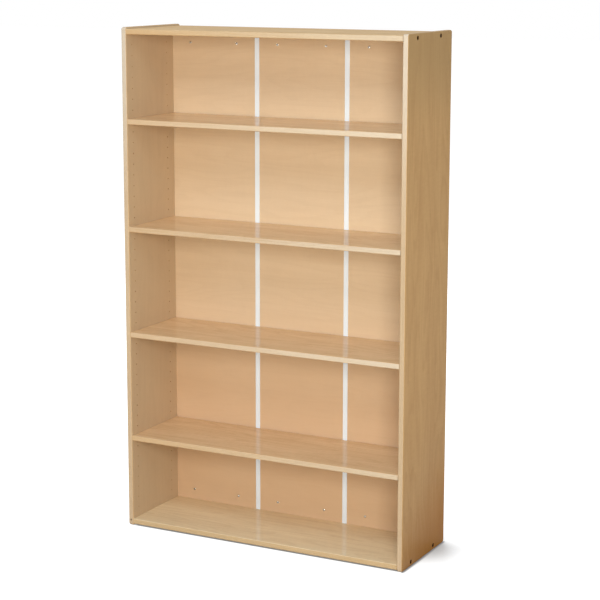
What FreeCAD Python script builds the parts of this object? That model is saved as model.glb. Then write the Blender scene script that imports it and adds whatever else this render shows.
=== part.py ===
import FreeCAD, Part
import os

import Sketcher

# Open plywood bookcase: two full-height sides carry a top, a bottom and four adjustable shelves.
# The recessed back is three thin panels joined by plastic strips of H section.
# Origin: middle of the footprint on the floor. The front faces -Y, +X is to the right, +Z is up.
# All sizes are in millimetres.

doc = FreeCAD.newDocument("bookcase")

# Driving dimensions: alias, value, meaning
DRIVING = (
    ("overall_width", 914.4, "outer face of one side to outer face of the other"),
    ("overall_depth", 304.8, "front edge to rear edge of a side"),
    ("overall_height", 1511.3, "floor to the top of a side"),
    ("board_thickness", 16.0, "plywood of the sides, top, bottom and shelves"),
    ("side_overrun", 5.0, "how far the sides run past the top and the bottom"),
    ("edge_radius", 3.2, "round-over along the exposed edges"),
    ("corner_radius", 8.0, "rounding of the four corners of a side"),
    ("hole_pitch", 32.0, "height between two support holes"),
    ("row_hole_count", 37, "support holes in a row, which is centred on mid-height"),
    ("front_row_setback", 32.0, "front edge of a side to the front row of holes"),
    ("rear_row_setback", 38.0, "rear row of holes to the front face of the back"),
    ("support_hole_depth", 10.0, "depth of a support hole"),
    ("wire_diameter", 3.0, "spring-steel wire that carries a shelf end"),
    ("wire_hole_clearance", 0.1, "radial clearance of the wire in a support hole"),
    ("wire_leg_depth", 9.0, "length of a bent leg inside its hole"),
    ("wire_bend_radius", 4.0, "bend of the wire, on its centre line"),
    ("slot_height", 3.6, "slot in a shelf's end that slides over the wire"),
    ("slot_end_clearance", 0.3, "between the wire and the slot's floor and front end"),
    ("slot_seat_clearance", 0.05, "between the wire and the slot's ceiling, which rides on it"),
    ("shelf_1_hole_count", 33, "support holes of a row that lie below the top shelf"),
    ("shelf_2_hole_count", 23, "the same for the second shelf"),
    ("shelf_3_hole_count", 13, "the same for the third shelf"),
    ("shelf_4_hole_count", 3, "the same for the lowest shelf"),
    ("shelf_front_setback", 1.0, "front edge of a side to the front edge of a shelf"),
    ("shelf_end_clearance", 0.5, "between a shelf's end and the side"),
    ("shelf_rear_clearance", 3.0, "between a shelf and the back"),
    ("back_recess", 38.0, "rear face of the back to the rear edge of a side"),
    ("back_thickness", 4.8, "thin plywood of the back panels"),
    ("groove_depth", 6.0, "groove that holds the back's outer edges"),
    ("groove_clearance", 0.2, "between a face of the back and the groove"),
    ("back_edge_clearance", 0.3, "between an edge of the back and the groove's floor"),
    ("strip_width", 14.5, "visible width of a joining strip"),
    ("strip_flange", 1.0, "thickness of a strip's front and rear flange"),
    ("strip_web", 1.5, "thickness of the web between two panels"),
    ("strip_clearance", 0.2, "between a panel and the strip around its edge"),
    ("strip_end_clearance", 0.3, "above and below a strip"),
    ("strip_edge_radius", 0.4, "rounding along a strip's outer corners"),
    ("rail_height", 64.0, "board behind the back that takes its screws"),
    ("rail_thickness", 16.0, "thickness of that board"),
    ("rail_notch_clearance", 0.5, "round a strip where it passes a rail"),
    ("case_screw_setback", 64.0, "front edge of a side to the front assembly screw"),
    ("case_screw_length", 50.0, "assembly screw, head included"),
    ("case_screw_head_diameter", 12.0, "its flat head"),
    ("case_screw_head_rim", 1.2, "straight part of the head, above the cone"),
    ("case_screw_shank_diameter", 7.0, "smooth shank under the head"),
    ("case_screw_shank_length", 12.0, "top of the head to the start of the thread"),
    ("case_screw_thread_diameter", 6.4, "thread, as a plain cylinder"),
    ("case_screw_tip_diameter", 4.0, "blunt end of the thread"),
    ("case_screw_tip_length", 4.0, "tapered end of the thread"),
    ("case_screw_recess", 1.6, "head below the outer face of the side"),
    ("case_screw_clearance", 0.1, "radial clearance round the screw"),
    ("case_screw_end_clearance", 2.0, "bore beyond the screw's end"),
    ("case_socket_flats", 4.0, "hexagon socket, across its flats"),
    ("case_socket_depth", 2.5, "depth of that socket"),
    ("dowel_diameter", 8.0, "beech dowel at the ends of a rail"),
    ("dowel_length", 30.0, "its whole length"),
    ("dowel_depth_in_side", 10.0, "how far it enters the side"),
    ("dowel_spacing", 32.0, "between the two dowels at one end"),
    ("dowel_chamfer", 1.0, "chamfer at both ends of a dowel"),
    ("dowel_clearance", 0.05, "radial clearance of a dowel in its hole"),
    ("dowel_end_clearance", 1.0, "hole beyond each end of a dowel"),
    ("back_screw_spacing", 160.0, "between the two screws in one row of a back panel"),
    ("back_screw_head_diameter", 8.0, "pan head"),
    ("back_screw_head_height", 2.6, "height of the pan head"),
    ("back_screw_head_radius", 1.6, "rounding of the pan head"),
    ("cross_length", 4.4, "cross recess in the pan head, tip to tip"),
    ("cross_width", 1.1, "width of its arms"),
    ("cross_depth", 1.5, "depth of the recess"),
    ("back_screw_shank_diameter", 3.5, "shank, as a plain cylinder"),
    ("back_screw_length", 16.0, "shank under the head"),
    ("back_screw_tip_length", 3.0, "pointed end of the shank"),
    ("back_screw_clearance", 0.1, "radial clearance round the shank"),
    ("back_screw_end_clearance", 1.0, "pilot hole beyond the point"),
)

sizes = doc.addObject("Spreadsheet::Sheet", "sizes")
for row, (alias, value, meaning) in enumerate(DRIVING, start=1):
    sizes.set(f"A{row}", alias)
    sizes.set(f"B{row}", str(value))
    sizes.set(f"C{row}", meaning)
    sizes.setAlias(f"B{row}", alias)
doc.recompute()

# Planes and faces that several pieces share, as expressions of the driving dimensions
case_front = "(-sizes.overall_depth / 2)"
inner_half_width = "(sizes.overall_width / 2 - sizes.board_thickness)"
mid_height = "(sizes.overall_height / 2)"
clear_bottom = "(sizes.side_overrun + sizes.board_thickness)"
clear_top = "(sizes.overall_height - sizes.side_overrun - sizes.board_thickness)"
back_rear = "(sizes.overall_depth / 2 - sizes.back_recess)"
back_front = f"({back_rear} - sizes.back_thickness)"
front_row = f"({case_front} + sizes.front_row_setback)"
rear_row = f"({back_front} - sizes.rear_row_setback)"
lowest_hole = f"({mid_height} - (round(sizes.row_hole_count) - 1) / 2 * sizes.hole_pitch)"
front_case_screw = f"({case_front} + sizes.case_screw_setback)"
rear_case_screw = rear_row
back_low = f"({clear_bottom} - sizes.groove_depth + sizes.back_edge_clearance)"
back_high = f"({clear_top} + sizes.groove_depth - sizes.back_edge_clearance)"
back_half_width = f"({inner_half_width} + sizes.groove_depth - sizes.back_edge_clearance)"
panel_gap = "(sizes.strip_web + 2 * sizes.strip_clearance)"
panel_width = f"((2 * {back_half_width} - 2 * {panel_gap}) / 3)"
panel_pitch = f"({panel_width} + {panel_gap})"
strip_slot = "(sizes.back_thickness + 2 * sizes.strip_clearance)"
rail_middle = f"({back_rear} + sizes.rail_thickness / 2)"
upper_rail_low = f"({clear_top} - sizes.rail_height)"
lower_rail_low = clear_bottom
rail_lows = (lower_rail_low, upper_rail_low)
dowel_hole_diameter = "(sizes.dowel_diameter + 2 * sizes.dowel_clearance)"
shank_hole_diameter = "(sizes.case_screw_shank_diameter + 2 * sizes.case_screw_clearance)"
head_hole_diameter = "(sizes.case_screw_head_diameter + 2 * sizes.case_screw_clearance)"
thread_hole_diameter = "(sizes.case_screw_thread_diameter + 2 * sizes.case_screw_clearance)"
back_screw_hole_diameter = "(sizes.back_screw_shank_diameter + 2 * sizes.back_screw_clearance)"

# Largest distance between two coordinates that count as the same one
SAME = 0.001

pieces = []


def new_piece(label):
    """Starts a piece: its label names the file that it is written to."""
    body = doc.addObject("PartDesign::Body", label)
    body.Label = label
    body.AllowCompound = True
    pieces.append(body)
    return body


def origin_item(body, role):
    """Gives the body's own origin plane or axis with that role."""
    return next(item for item in body.Origin.OriginFeatures if item.Role == role)


def place(body, x="0", y="0", z="0"):
    """Binds the piece's place in the case."""
    body.setExpression("Placement.Base.x", x)
    body.setExpression("Placement.Base.y", y)
    body.setExpression("Placement.Base.z", z)


def new_sketch(body, role, name, offset="0"):
    """Attaches a sketch to one of the body's origin planes, moved along the plane's normal."""
    sketch = body.newObject("Sketcher::SketchObject", name)
    sketch.AttachmentSupport = [(origin_item(body, role), "")]
    sketch.MapMode = "FlatFace"
    sketch.setExpression("AttachmentOffset.Base.z", offset)
    return sketch


def bind_point(sketch, geometry, end, x, y):
    """Ties a point of the sketch to a pair of expressions, measured from the sketch's origin."""
    for kind, expression in (("DistanceX", x), ("DistanceY", y)):
        value = sketch.evalExpression(expression)
        index = sketch.addConstraint(Sketcher.Constraint(kind, -1, 1, geometry, end, value))
        sketch.setExpression(f"Constraints[{index}]", expression)


def bind_size(sketch, kind, geometry, expression):
    """Ties a diameter, radius or length of one element to an expression."""
    value = sketch.evalExpression(expression)
    index = sketch.addConstraint(Sketcher.Constraint(kind, geometry, value))
    sketch.setExpression(f"Constraints[{index}]", expression)


def outline(sketch, corners):
    """Draws a closed outline of straight lines through corners given as pairs of expressions."""
    points = []
    for x, y in corners:
        points.append(FreeCAD.Vector(sketch.evalExpression(x), sketch.evalExpression(y), 0))
    lines = []
    for start, end in zip(points, points[1:] + points[:1]):
        lines.append(sketch.addGeometry(Part.LineSegment(start, end), False))
    for line, following in zip(lines, lines[1:] + lines[:1]):
        sketch.addConstraint(Sketcher.Constraint("Coincident", line, 2, following, 1))
    for line, (x, y) in zip(lines, corners):
        bind_point(sketch, line, 1, x, y)


def rectangle(sketch, left, low, width, height):
    """Draws a rectangle from its lower left corner, with its width and height as dimensions."""
    x = sketch.evalExpression(left)
    y = sketch.evalExpression(low)
    right = x + sketch.evalExpression(width)
    top = y + sketch.evalExpression(height)
    corners = [FreeCAD.Vector(*xy, 0) for xy in ((x, y), (right, y), (right, top), (x, top))]
    lines = []
    for start, end in zip(corners, corners[1:] + corners[:1]):
        lines.append(sketch.addGeometry(Part.LineSegment(start, end), False))
    for line, following in zip(lines, lines[1:] + lines[:1]):
        sketch.addConstraint(Sketcher.Constraint("Coincident", line, 2, following, 1))
    low_line, right_line, top_line, left_line = lines
    for line in (low_line, top_line):
        sketch.addConstraint(Sketcher.Constraint("Horizontal", line))
    for line in (right_line, left_line):
        sketch.addConstraint(Sketcher.Constraint("Vertical", line))
    bind_point(sketch, low_line, 1, left, low)
    bind_size(sketch, "Distance", low_line, width)
    bind_size(sketch, "Distance", right_line, height)


def circle(sketch, x, y, diameter):
    """Draws a circle with its centre and diameter bound."""
    centre = FreeCAD.Vector(sketch.evalExpression(x), sketch.evalExpression(y), 0)
    radius = sketch.evalExpression(diameter) / 2
    element = sketch.addGeometry(Part.Circle(centre, FreeCAD.Vector(0, 0, 1), radius), False)
    bind_point(sketch, element, 3, x, y)
    bind_size(sketch, "Diameter", element, diameter)


def pad(body, sketch, length, backwards=False, both_ways=False):
    """Raises a sketch along its normal, against it, or half each way."""
    feature = body.newObject("PartDesign::Pad", f"{sketch.Name}_pad")
    feature.Profile = sketch
    feature.setExpression("Length", length)
    feature.Reversed = backwards
    feature.Midplane = both_ways
    doc.recompute()
    return feature


def must_cut(body, volume_before, name):
    """Stops the build when a cut has taken nothing away."""
    if not body.Shape.Volume < volume_before - SAME:
        raise RuntimeError(f"{name} cut nothing from {body.Label}")


def pocket(body, sketch, depth=None, forwards=False, both_ways=False):
    """Cuts a sketch out, against its normal unless forwards is set; no depth means right through."""
    before = body.Shape.Volume
    feature = body.newObject("PartDesign::Pocket", f"{sketch.Name}_pocket")
    feature.Profile = sketch
    feature.Reversed = forwards
    feature.Midplane = both_ways
    if depth is None:
        feature.Type = "ThroughAll"
    else:
        feature.setExpression("Length", depth)
    doc.recompute()
    must_cut(body, before, feature.Name)
    return feature


def edge_names(feature, test):
    """Names the feature's edges whose bounding box passes the test."""
    names = []
    for number, edge in enumerate(feature.Shape.Edges, start=1):
        if test(edge.BoundBox):
            names.append(f"Edge{number}")
    return names


def fillet(body, base, test, radius, name):
    """Rounds the edges of a feature that pass the test."""
    feature = body.newObject("PartDesign::Fillet", name)
    feature.Base = (base, edge_names(base, test))
    feature.setExpression("Radius", radius)
    doc.recompute()
    return feature


def chamfer(body, base, test, size, name):
    """Chamfers the edges of a feature that pass the test."""
    feature = body.newObject("PartDesign::Chamfer", name)
    feature.Base = (base, edge_names(base, test))
    feature.setExpression("Size", size)
    doc.recompute()
    return feature


def repeat(body, kind, originals, name):
    """Starts a pattern or a mirror of some features, or of the whole piece when none is named."""
    feature = body.newObject(f"PartDesign::{kind}", name)
    if originals:
        feature.Originals = originals
    else:
        feature.TransformMode = "Whole shape"
    body.Tip = feature
    return feature


def mirrored(body, originals, name):
    """Repeats features on the other side of the case's middle plane."""
    feature = repeat(body, "Mirrored", originals, name)
    feature.MirrorPlane = (origin_item(body, "YZ_Plane"), [""])
    doc.recompute()
    return feature


def row_of(body, originals, name, role, spacing, count):
    """Repeats features along an axis, a number of times at an even spacing."""
    feature = repeat(body, "LinearPattern", originals, name)
    feature.Direction = (origin_item(body, role), [""])
    feature.Mode = "Spacing"
    feature.setExpression("Offset", spacing)
    feature.setExpression("Occurrences", count)
    doc.recompute()
    return feature


def side(label, hand):
    """One side, drawn with its inner face at x = 0; hand is 1 for the right one and -1 for the left."""
    on_right = hand > 0
    body = new_piece(label)
    place(body, x=f"{hand} * {inner_half_width}")

    board = new_sketch(body, "YZ_Plane", f"{label}_board")
    rectangle(board, case_front, "0", "sizes.overall_depth", "sizes.overall_height")
    solid = pad(body, board, "sizes.board_thickness", backwards=not on_right)

    solid = fillet(
        body, solid, lambda box: box.YLength < SAME and box.ZLength < SAME, "sizes.corner_radius", f"{label}_corners"
    )
    fillet(body, solid, lambda box: box.XLength < SAME, "sizes.edge_radius", f"{label}_edges")

    # Groove for the outer edge of the back, stopped short of both ends of the side
    groove = new_sketch(body, "YZ_Plane", f"{label}_groove")
    rectangle(
        groove,
        f"{back_front} - sizes.groove_clearance",
        f"{clear_bottom} - sizes.groove_depth",
        "sizes.back_thickness + 2 * sizes.groove_clearance",
        f"{clear_top} - {clear_bottom} + 2 * sizes.groove_depth",
    )
    pocket(body, groove, "sizes.groove_depth", forwards=on_right)

    # Two rows of support holes, a front and a rear one
    pair = new_sketch(body, "YZ_Plane", f"{label}_hole_pair")
    for row_line in (front_row, rear_row):
        circle(pair, row_line, lowest_hole, "sizes.wire_diameter + 2 * sizes.wire_hole_clearance")
    lowest_pair = pocket(body, pair, "sizes.support_hole_depth", forwards=on_right)
    holes_in_row = "round(sizes.row_hole_count)"
    row_of(body, [lowest_pair], f"{label}_hole_rows", "Z_Axis", "sizes.hole_pitch", holes_in_row)

    # Blind holes for the dowels of both rails
    dowel_holes = new_sketch(body, "YZ_Plane", f"{label}_dowel_holes")
    for rail_low in rail_lows:
        for way in (-1, 1):
            height = f"{rail_low} + sizes.rail_height / 2 + {way} * sizes.dowel_spacing / 2"
            circle(dowel_holes, rail_middle, height, dowel_hole_diameter)
    pocket(body, dowel_holes, "sizes.dowel_depth_in_side + sizes.dowel_end_clearance", forwards=on_right)

    # Counterbored and countersunk holes for the assembly screws, drilled from the outer face
    before = body.Shape.Volume
    screw_holes = new_sketch(body, "YZ_Plane", f"{label}_screw_holes", f"{hand} * sizes.board_thickness")
    for height in (f"{clear_bottom} - sizes.board_thickness / 2", f"{clear_top} + sizes.board_thickness / 2"):
        for screw_line in (front_case_screw, rear_case_screw):
            circle(screw_holes, screw_line, height, shank_hole_diameter)
    drilled = body.newObject("PartDesign::Hole", f"{label}_screws")
    drilled.Profile = screw_holes
    doc.recompute()
    drilled.Reversed = not on_right
    drilled.DepthType = "ThroughAll"
    drilled.setExpression("Diameter", shank_hole_diameter)
    drilled.HoleCutType = "Counterdrill"
    drilled.HoleCutCustomValues = True
    drilled.setExpression("HoleCutDiameter", head_hole_diameter)
    drilled.setExpression("HoleCutDepth", "sizes.case_screw_recess + sizes.case_screw_head_rim")
    doc.recompute()
    must_cut(body, before, drilled.Name)


def fixed_panel(label, low, groove_on_top):
    """Top or bottom panel, held between the sides by the assembly screws in its ends."""
    body = new_piece(label)
    place(body, z=low)

    board = new_sketch(body, "XY_Plane", f"{label}_board")
    rectangle(board, f"-{inner_half_width}", case_front, f"2 * {inner_half_width}", "sizes.overall_depth")
    solid = pad(body, board, "sizes.board_thickness")
    fillet(body, solid, lambda box: box.YLength < SAME and box.ZLength < SAME, "sizes.edge_radius", f"{label}_edges")

    groove_offset = "sizes.board_thickness" if groove_on_top else "0"
    groove = new_sketch(body, "XY_Plane", f"{label}_groove", groove_offset)
    rectangle(
        groove,
        f"-{inner_half_width}",
        f"{back_front} - sizes.groove_clearance",
        f"2 * {inner_half_width}",
        "sizes.back_thickness + 2 * sizes.groove_clearance",
    )
    pocket(body, groove, "sizes.groove_depth", forwards=not groove_on_top)

    bores = new_sketch(body, "YZ_Plane", f"{label}_bores", inner_half_width)
    for screw_line in (front_case_screw, rear_case_screw):
        circle(bores, screw_line, "sizes.board_thickness / 2", thread_hole_diameter)
    depth = (
        "sizes.case_screw_length + sizes.case_screw_recess + sizes.case_screw_end_clearance - sizes.board_thickness"
    )
    right_bores = pocket(body, bores, depth)
    mirrored(body, [right_bores], f"{label}_left_bores")


def shelf(number):
    """Adjustable shelf, drawn about its mid-height; a stopped slot in each end takes a support wire."""
    label = f"shelf_{number}"
    half_length = f"({inner_half_width} - sizes.shelf_end_clearance)"
    front = f"({case_front} + sizes.shelf_front_setback)"
    rear = f"({back_front} - sizes.shelf_rear_clearance)"
    slot_front = f"({front_row} - sizes.wire_diameter / 2 - sizes.slot_end_clearance)"
    wire_reach = "(sizes.wire_bend_radius + sizes.wire_diameter / 2)"
    slot_depth = f"({wire_reach} + sizes.slot_end_clearance - sizes.shelf_end_clearance)"
    slot_middle = "sizes.wire_diameter / 2 + sizes.slot_seat_clearance - sizes.slot_height / 2"

    body = new_piece(label)
    place(body, z=shelf_height(number))

    board = new_sketch(body, "XY_Plane", f"{label}_board")
    rectangle(board, f"-{half_length}", front, f"2 * {half_length}", f"{rear} - {front}")
    solid = pad(body, board, "sizes.board_thickness", both_ways=True)
    fillet(body, solid, lambda box: box.YLength < SAME and box.ZLength < SAME, "sizes.edge_radius", f"{label}_edges")

    slot = new_sketch(body, "XY_Plane", f"{label}_slot", slot_middle)
    rectangle(slot, f"{half_length} - {slot_depth}", slot_front, slot_depth, f"{rear} - {slot_front}")
    right_slot = pocket(body, slot, "sizes.slot_height", both_ways=True)
    mirrored(body, [right_slot], f"{label}_left_slot")


def shelf_height(number):
    """Height of a shelf's middle, which is that of the holes that carry it."""
    return f"{lowest_hole} + round(sizes.shelf_{number}_hole_count) * sizes.hole_pitch"


def shelf_wires(number):
    """The two bent wires that carry a shelf: a straight run with both ends bent into the side."""
    label = f"shelf_{number}_wires"
    body = new_piece(label)
    place(body, z=shelf_height(number))

    leg_end = f"({inner_half_width} + sizes.wire_leg_depth)"
    run = f"({inner_half_width} - sizes.wire_bend_radius)"
    path = new_sketch(body, "XY_Plane", f"{label}_path")
    face_x = path.evalExpression(inner_half_width)
    leg_x = path.evalExpression(leg_end)
    run_x = path.evalExpression(run)
    bend = path.evalExpression("sizes.wire_bend_radius")
    front_y = path.evalExpression(front_row)
    rear_y = path.evalExpression(rear_row)

    def line(x1, y1, x2, y2):
        return path.addGeometry(Part.LineSegment(FreeCAD.Vector(x1, y1, 0), FreeCAD.Vector(x2, y2, 0)), False)

    def quarter(y, first_way):
        centre = FreeCAD.Vector(face_x, y, 0)
        middle = centre + FreeCAD.Vector(-bend, first_way * bend, 0) / 2 ** 0.5
        ends = (centre + FreeCAD.Vector(-bend, 0, 0), centre + FreeCAD.Vector(0, first_way * bend, 0))
        return path.addGeometry(Part.Arc(ends[0], middle, ends[1]), False)

    front_leg = line(leg_x, front_y, face_x, front_y)
    front_bend = quarter(front_y + bend, -1)
    straight = line(run_x, front_y + bend, run_x, rear_y - bend)
    rear_bend = quarter(rear_y - bend, 1)
    rear_leg = line(face_x, rear_y, leg_x, rear_y)

    # An arc runs anticlockwise, so the front bend starts on the straight run and the rear one ends there
    joints = (
        (front_leg, 2, front_bend, 2),
        (front_bend, 1, straight, 1),
        (straight, 2, rear_bend, 2),
        (rear_bend, 1, rear_leg, 1),
    )
    for first, first_end, second, second_end in joints:
        path.addConstraint(Sketcher.Constraint("Tangent", first, first_end, second, second_end))
    path.addConstraint(Sketcher.Constraint("Horizontal", front_leg))
    path.addConstraint(Sketcher.Constraint("Horizontal", rear_leg))
    path.addConstraint(Sketcher.Constraint("Vertical", straight))
    path.addConstraint(Sketcher.Constraint("Equal", front_bend, rear_bend))
    bind_size(path, "Radius", front_bend, "sizes.wire_bend_radius")
    bind_point(path, front_leg, 1, leg_end, front_row)
    bind_point(path, rear_leg, 2, leg_end, rear_row)
    bind_size(path, "Distance", front_leg, "sizes.wire_leg_depth")

    section = new_sketch(body, "YZ_Plane", f"{label}_section", leg_end)
    circle(section, front_row, "0", "sizes.wire_diameter")
    doc.recompute()

    wire = body.newObject("PartDesign::AdditivePipe", f"{label}_right")
    wire.Profile = section
    wire.Spine = (path, [f"Edge{number}" for number in range(1, len(path.Shape.Edges) + 1)])
    doc.recompute()
    mirrored(body, [wire], f"{label}_left")


def rail(label, low):
    """Board behind the back, between the sides: the screws of the back bite into it."""
    body = new_piece(label)
    place(body, z=low)

    board = new_sketch(body, "XY_Plane", f"{label}_board")
    rectangle(board, f"-{inner_half_width}", back_rear, f"2 * {inner_half_width}", "sizes.rail_thickness")
    solid = pad(body, board, "sizes.rail_height")
    rear = solid.Shape.BoundBox.YMax
    fillet(
        body,
        solid,
        lambda box: box.YLength < SAME and box.ZLength < SAME and box.YMin > rear - SAME,
        "sizes.edge_radius",
        f"{label}_edges",
    )

    # Shallow notches let the rear flanges of the strips pass
    notches = new_sketch(body, "XY_Plane", f"{label}_notches")
    notch_width = "(sizes.strip_width + 2 * sizes.rail_notch_clearance)"
    notch_depth = "(sizes.strip_flange + sizes.strip_clearance + sizes.rail_notch_clearance)"
    for way in (-1, 1):
        left = f"{way} * {panel_pitch} / 2 - {notch_width} / 2"
        rectangle(notches, left, back_rear, notch_width, notch_depth)
    pocket(body, notches, forwards=True)

    dowel_holes = new_sketch(body, "YZ_Plane", f"{label}_dowel_holes", inner_half_width)
    for way in (-1, 1):
        height = f"sizes.rail_height / 2 + {way} * sizes.dowel_spacing / 2"
        circle(dowel_holes, rail_middle, height, dowel_hole_diameter)
    depth = "sizes.dowel_length - sizes.dowel_depth_in_side + sizes.dowel_end_clearance"
    right_holes = pocket(body, dowel_holes, depth)
    mirrored(body, [right_holes], f"{label}_left_dowel_holes")

    pilots = new_sketch(body, "XZ_Plane", f"{label}_pilots", f"-{back_rear}")
    for panel in (-1, 0, 1):
        for way in (-1, 1):
            across = f"{panel} * {panel_pitch} + {way} * sizes.back_screw_spacing / 2"
            circle(pilots, across, "sizes.rail_height / 2", back_screw_hole_diameter)
    pocket(body, pilots, "sizes.back_screw_length + sizes.back_screw_end_clearance - sizes.back_thickness")


def rail_dowels(label, low):
    """The four dowels of one rail, two at each end, drawn about the rail's mid-height."""
    body = new_piece(label)
    place(body, y=rail_middle, z=f"{low} + sizes.rail_height / 2")
    ends = new_sketch(body, "YZ_Plane", f"{label}_ends", f"{inner_half_width} + sizes.dowel_depth_in_side")
    for way in (-1, 1):
        circle(ends, "0", f"{way} * sizes.dowel_spacing / 2", "sizes.dowel_diameter")
    solid = pad(body, ends, "sizes.dowel_length", backwards=True)
    chamfer(body, solid, lambda box: box.XLength < SAME, "sizes.dowel_chamfer", f"{label}_chamfers")
    mirrored(body, [], f"{label}_left")


def back_panel(label, position):
    """One of the three thin panels; position is -1, 0 or 1 from left to right."""
    body = new_piece(label)
    place(body, x=f"{position} * {panel_pitch}", y=back_front)
    sheet = new_sketch(body, "XZ_Plane", f"{label}_sheet")
    rectangle(sheet, f"-{panel_width} / 2", back_low, panel_width, f"{back_high} - {back_low}")
    pad(body, sheet, "sizes.back_thickness", backwards=True)

    screw_holes = new_sketch(body, "XZ_Plane", f"{label}_screw_holes")
    for low in rail_lows:
        for way in (-1, 1):
            across = f"{way} * sizes.back_screw_spacing / 2"
            circle(screw_holes, across, f"{low} + sizes.rail_height / 2", back_screw_hole_diameter)
    pocket(body, screw_holes)


def back_strip(label, way):
    """Plastic strip of H section that grips the edges of two panels; way is -1 for left, 1 for right."""
    body = new_piece(label)
    place(body, x=f"{way} * {panel_pitch} / 2", y=f"{back_front} + sizes.back_thickness / 2")
    thickness = f"({strip_slot} + 2 * sizes.strip_flange)"
    bar = new_sketch(body, "XY_Plane", f"{label}_bar", f"{clear_bottom} + sizes.strip_end_clearance")
    rectangle(bar, "-sizes.strip_width / 2", f"-{thickness} / 2", "sizes.strip_width", thickness)
    solid = pad(body, bar, f"{clear_top} - {clear_bottom} - 2 * sizes.strip_end_clearance")
    fillet(
        body, solid, lambda box: box.XLength < SAME and box.YLength < SAME, "sizes.strip_edge_radius", f"{label}_edges"
    )

    slots = new_sketch(body, "XY_Plane", f"{label}_slots")
    slot_depth = "((sizes.strip_width - sizes.strip_web) / 2)"
    for left in ("-sizes.strip_width / 2", "sizes.strip_web / 2"):
        rectangle(slots, left, f"-{strip_slot} / 2", slot_depth, strip_slot)
    pocket(body, slots, forwards=True)


def case_screws(label, hand, height):
    """The front and rear assembly screw of one corner; hand is 1 on the right and -1 on the left."""
    body = new_piece(label)
    place(body, x=f"{hand} * sizes.overall_width / 2", y=front_case_screw, z=height)

    head = "sizes.case_screw_head_diameter / 2"
    shank = "sizes.case_screw_shank_diameter / 2"
    thread = "sizes.case_screw_thread_diameter / 2"
    tip = "sizes.case_screw_tip_diameter / 2"
    head_face = "sizes.case_screw_recess"
    rim_end = f"{head_face} + sizes.case_screw_head_rim"
    end = f"{head_face} + sizes.case_screw_length"
    # Distance in from the outer face of the side, and radius
    stations = (
        (head_face, "0"),
        (head_face, head),
        (rim_end, head),
        (f"{rim_end} + {head} - {shank}", shank),
        (f"{head_face} + sizes.case_screw_shank_length", shank),
        (f"{head_face} + sizes.case_screw_shank_length", thread),
        (f"{end} - sizes.case_screw_tip_length", thread),
        (end, tip),
        (end, "0"),
    )
    profile = new_sketch(body, "XY_Plane", f"{label}_profile")
    outline(profile, [(f"{-hand} * ({inward})", radius) for inward, radius in stations])
    turned = body.newObject("PartDesign::Revolution", f"{label}_turned")
    turned.Profile = profile
    turned.ReferenceAxis = (profile, ["H_Axis"])
    doc.recompute()

    # Hexagon socket in the head
    hexagon = new_sketch(body, "YZ_Plane", f"{label}_hexagon", f"{-hand} * {head_face}")
    corner_radius = "sizes.case_socket_flats / 2 / cos(30 deg)"
    outline(
        hexagon,
        [(f"{corner_radius} * cos({60 * k} deg)", f"{corner_radius} * sin({60 * k} deg)") for k in range(6)],
    )
    socket = pocket(body, hexagon, "sizes.case_socket_depth", forwards=hand < 0)
    spacing = f"{rear_case_screw} - {front_case_screw}"
    row_of(body, [turned, socket], f"{label}_pair", "Y_Axis", spacing, "2")


def back_screws(label, low):
    """The six pan-head screws of one rail, two for each back panel."""
    body = new_piece(label)
    place(
        body,
        x=f"-{panel_pitch} - sizes.back_screw_spacing / 2",
        y=back_front,
        z=f"{low} + sizes.rail_height / 2",
    )
    head = "sizes.back_screw_head_diameter / 2"
    shank = "sizes.back_screw_shank_diameter / 2"
    stations = (
        ("0", "-sizes.back_screw_head_height"),
        (head, "-sizes.back_screw_head_height"),
        (head, "0"),
        (shank, "0"),
        (shank, "sizes.back_screw_length - sizes.back_screw_tip_length"),
        ("0", "sizes.back_screw_length"),
    )
    profile = new_sketch(body, "XY_Plane", f"{label}_profile")
    outline(profile, stations)
    turned = body.newObject("PartDesign::Revolution", f"{label}_turned")
    turned.Profile = profile
    turned.ReferenceAxis = (profile, ["V_Axis"])
    doc.recompute()

    front = turned.Shape.BoundBox.YMin
    fillet(body, turned, lambda box: box.YMax < front + SAME, "sizes.back_screw_head_radius", f"{label}_heads")

    # Cross recess in the head
    cross = new_sketch(body, "XZ_Plane", f"{label}_cross", "sizes.back_screw_head_height")
    tip = "sizes.cross_length / 2"
    arm = "sizes.cross_width / 2"
    right_arm = [(arm, f"-{arm}"), (tip, f"-{arm}"), (tip, arm), (arm, arm)]
    upper_arm = [(arm, tip), (f"-{arm}", tip)]
    left_arm = [(f"-{arm}", arm), (f"-{tip}", arm), (f"-{tip}", f"-{arm}"), (f"-{arm}", f"-{arm}")]
    lower_arm = [(f"-{arm}", f"-{tip}"), (arm, f"-{tip}")]
    outline(cross, right_arm + upper_arm + left_arm + lower_arm)
    pocket(body, cross, "sizes.cross_depth")
    row_of(body, [], f"{label}_pair", "X_Axis", "sizes.back_screw_spacing", "2")
    row_of(body, [], f"{label}_row", "X_Axis", panel_pitch, "3")


side("left_side", -1)
side("right_side", 1)
fixed_panel("top_panel", clear_top, groove_on_top=False)
fixed_panel("bottom_panel", "sizes.side_overrun", groove_on_top=True)
for number in range(1, 5):
    shelf(number)
    shelf_wires(number)
for name, position in (("left", -1), ("centre", 0), ("right", 1)):
    back_panel(f"back_panel_{name}", position)
for name, way in (("left", -1), ("right", 1)):
    back_strip(f"back_strip_{name}", way)
for name, low in (("upper", upper_rail_low), ("lower", lower_rail_low)):
    rail(f"back_rail_{name}", low)
    rail_dowels(f"rail_dowels_{name}", low)
    back_screws(f"back_screws_{name}", low)
screw_heights = (
    ("top", f"{clear_top} + sizes.board_thickness / 2"),
    ("bottom", f"{clear_bottom} - sizes.board_thickness / 2"),
)
for level, height in screw_heights:
    for name, hand in (("left", -1), ("right", 1)):
        case_screws(f"case_screws_{level}_{name}", hand, height)
doc.recompute()

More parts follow.
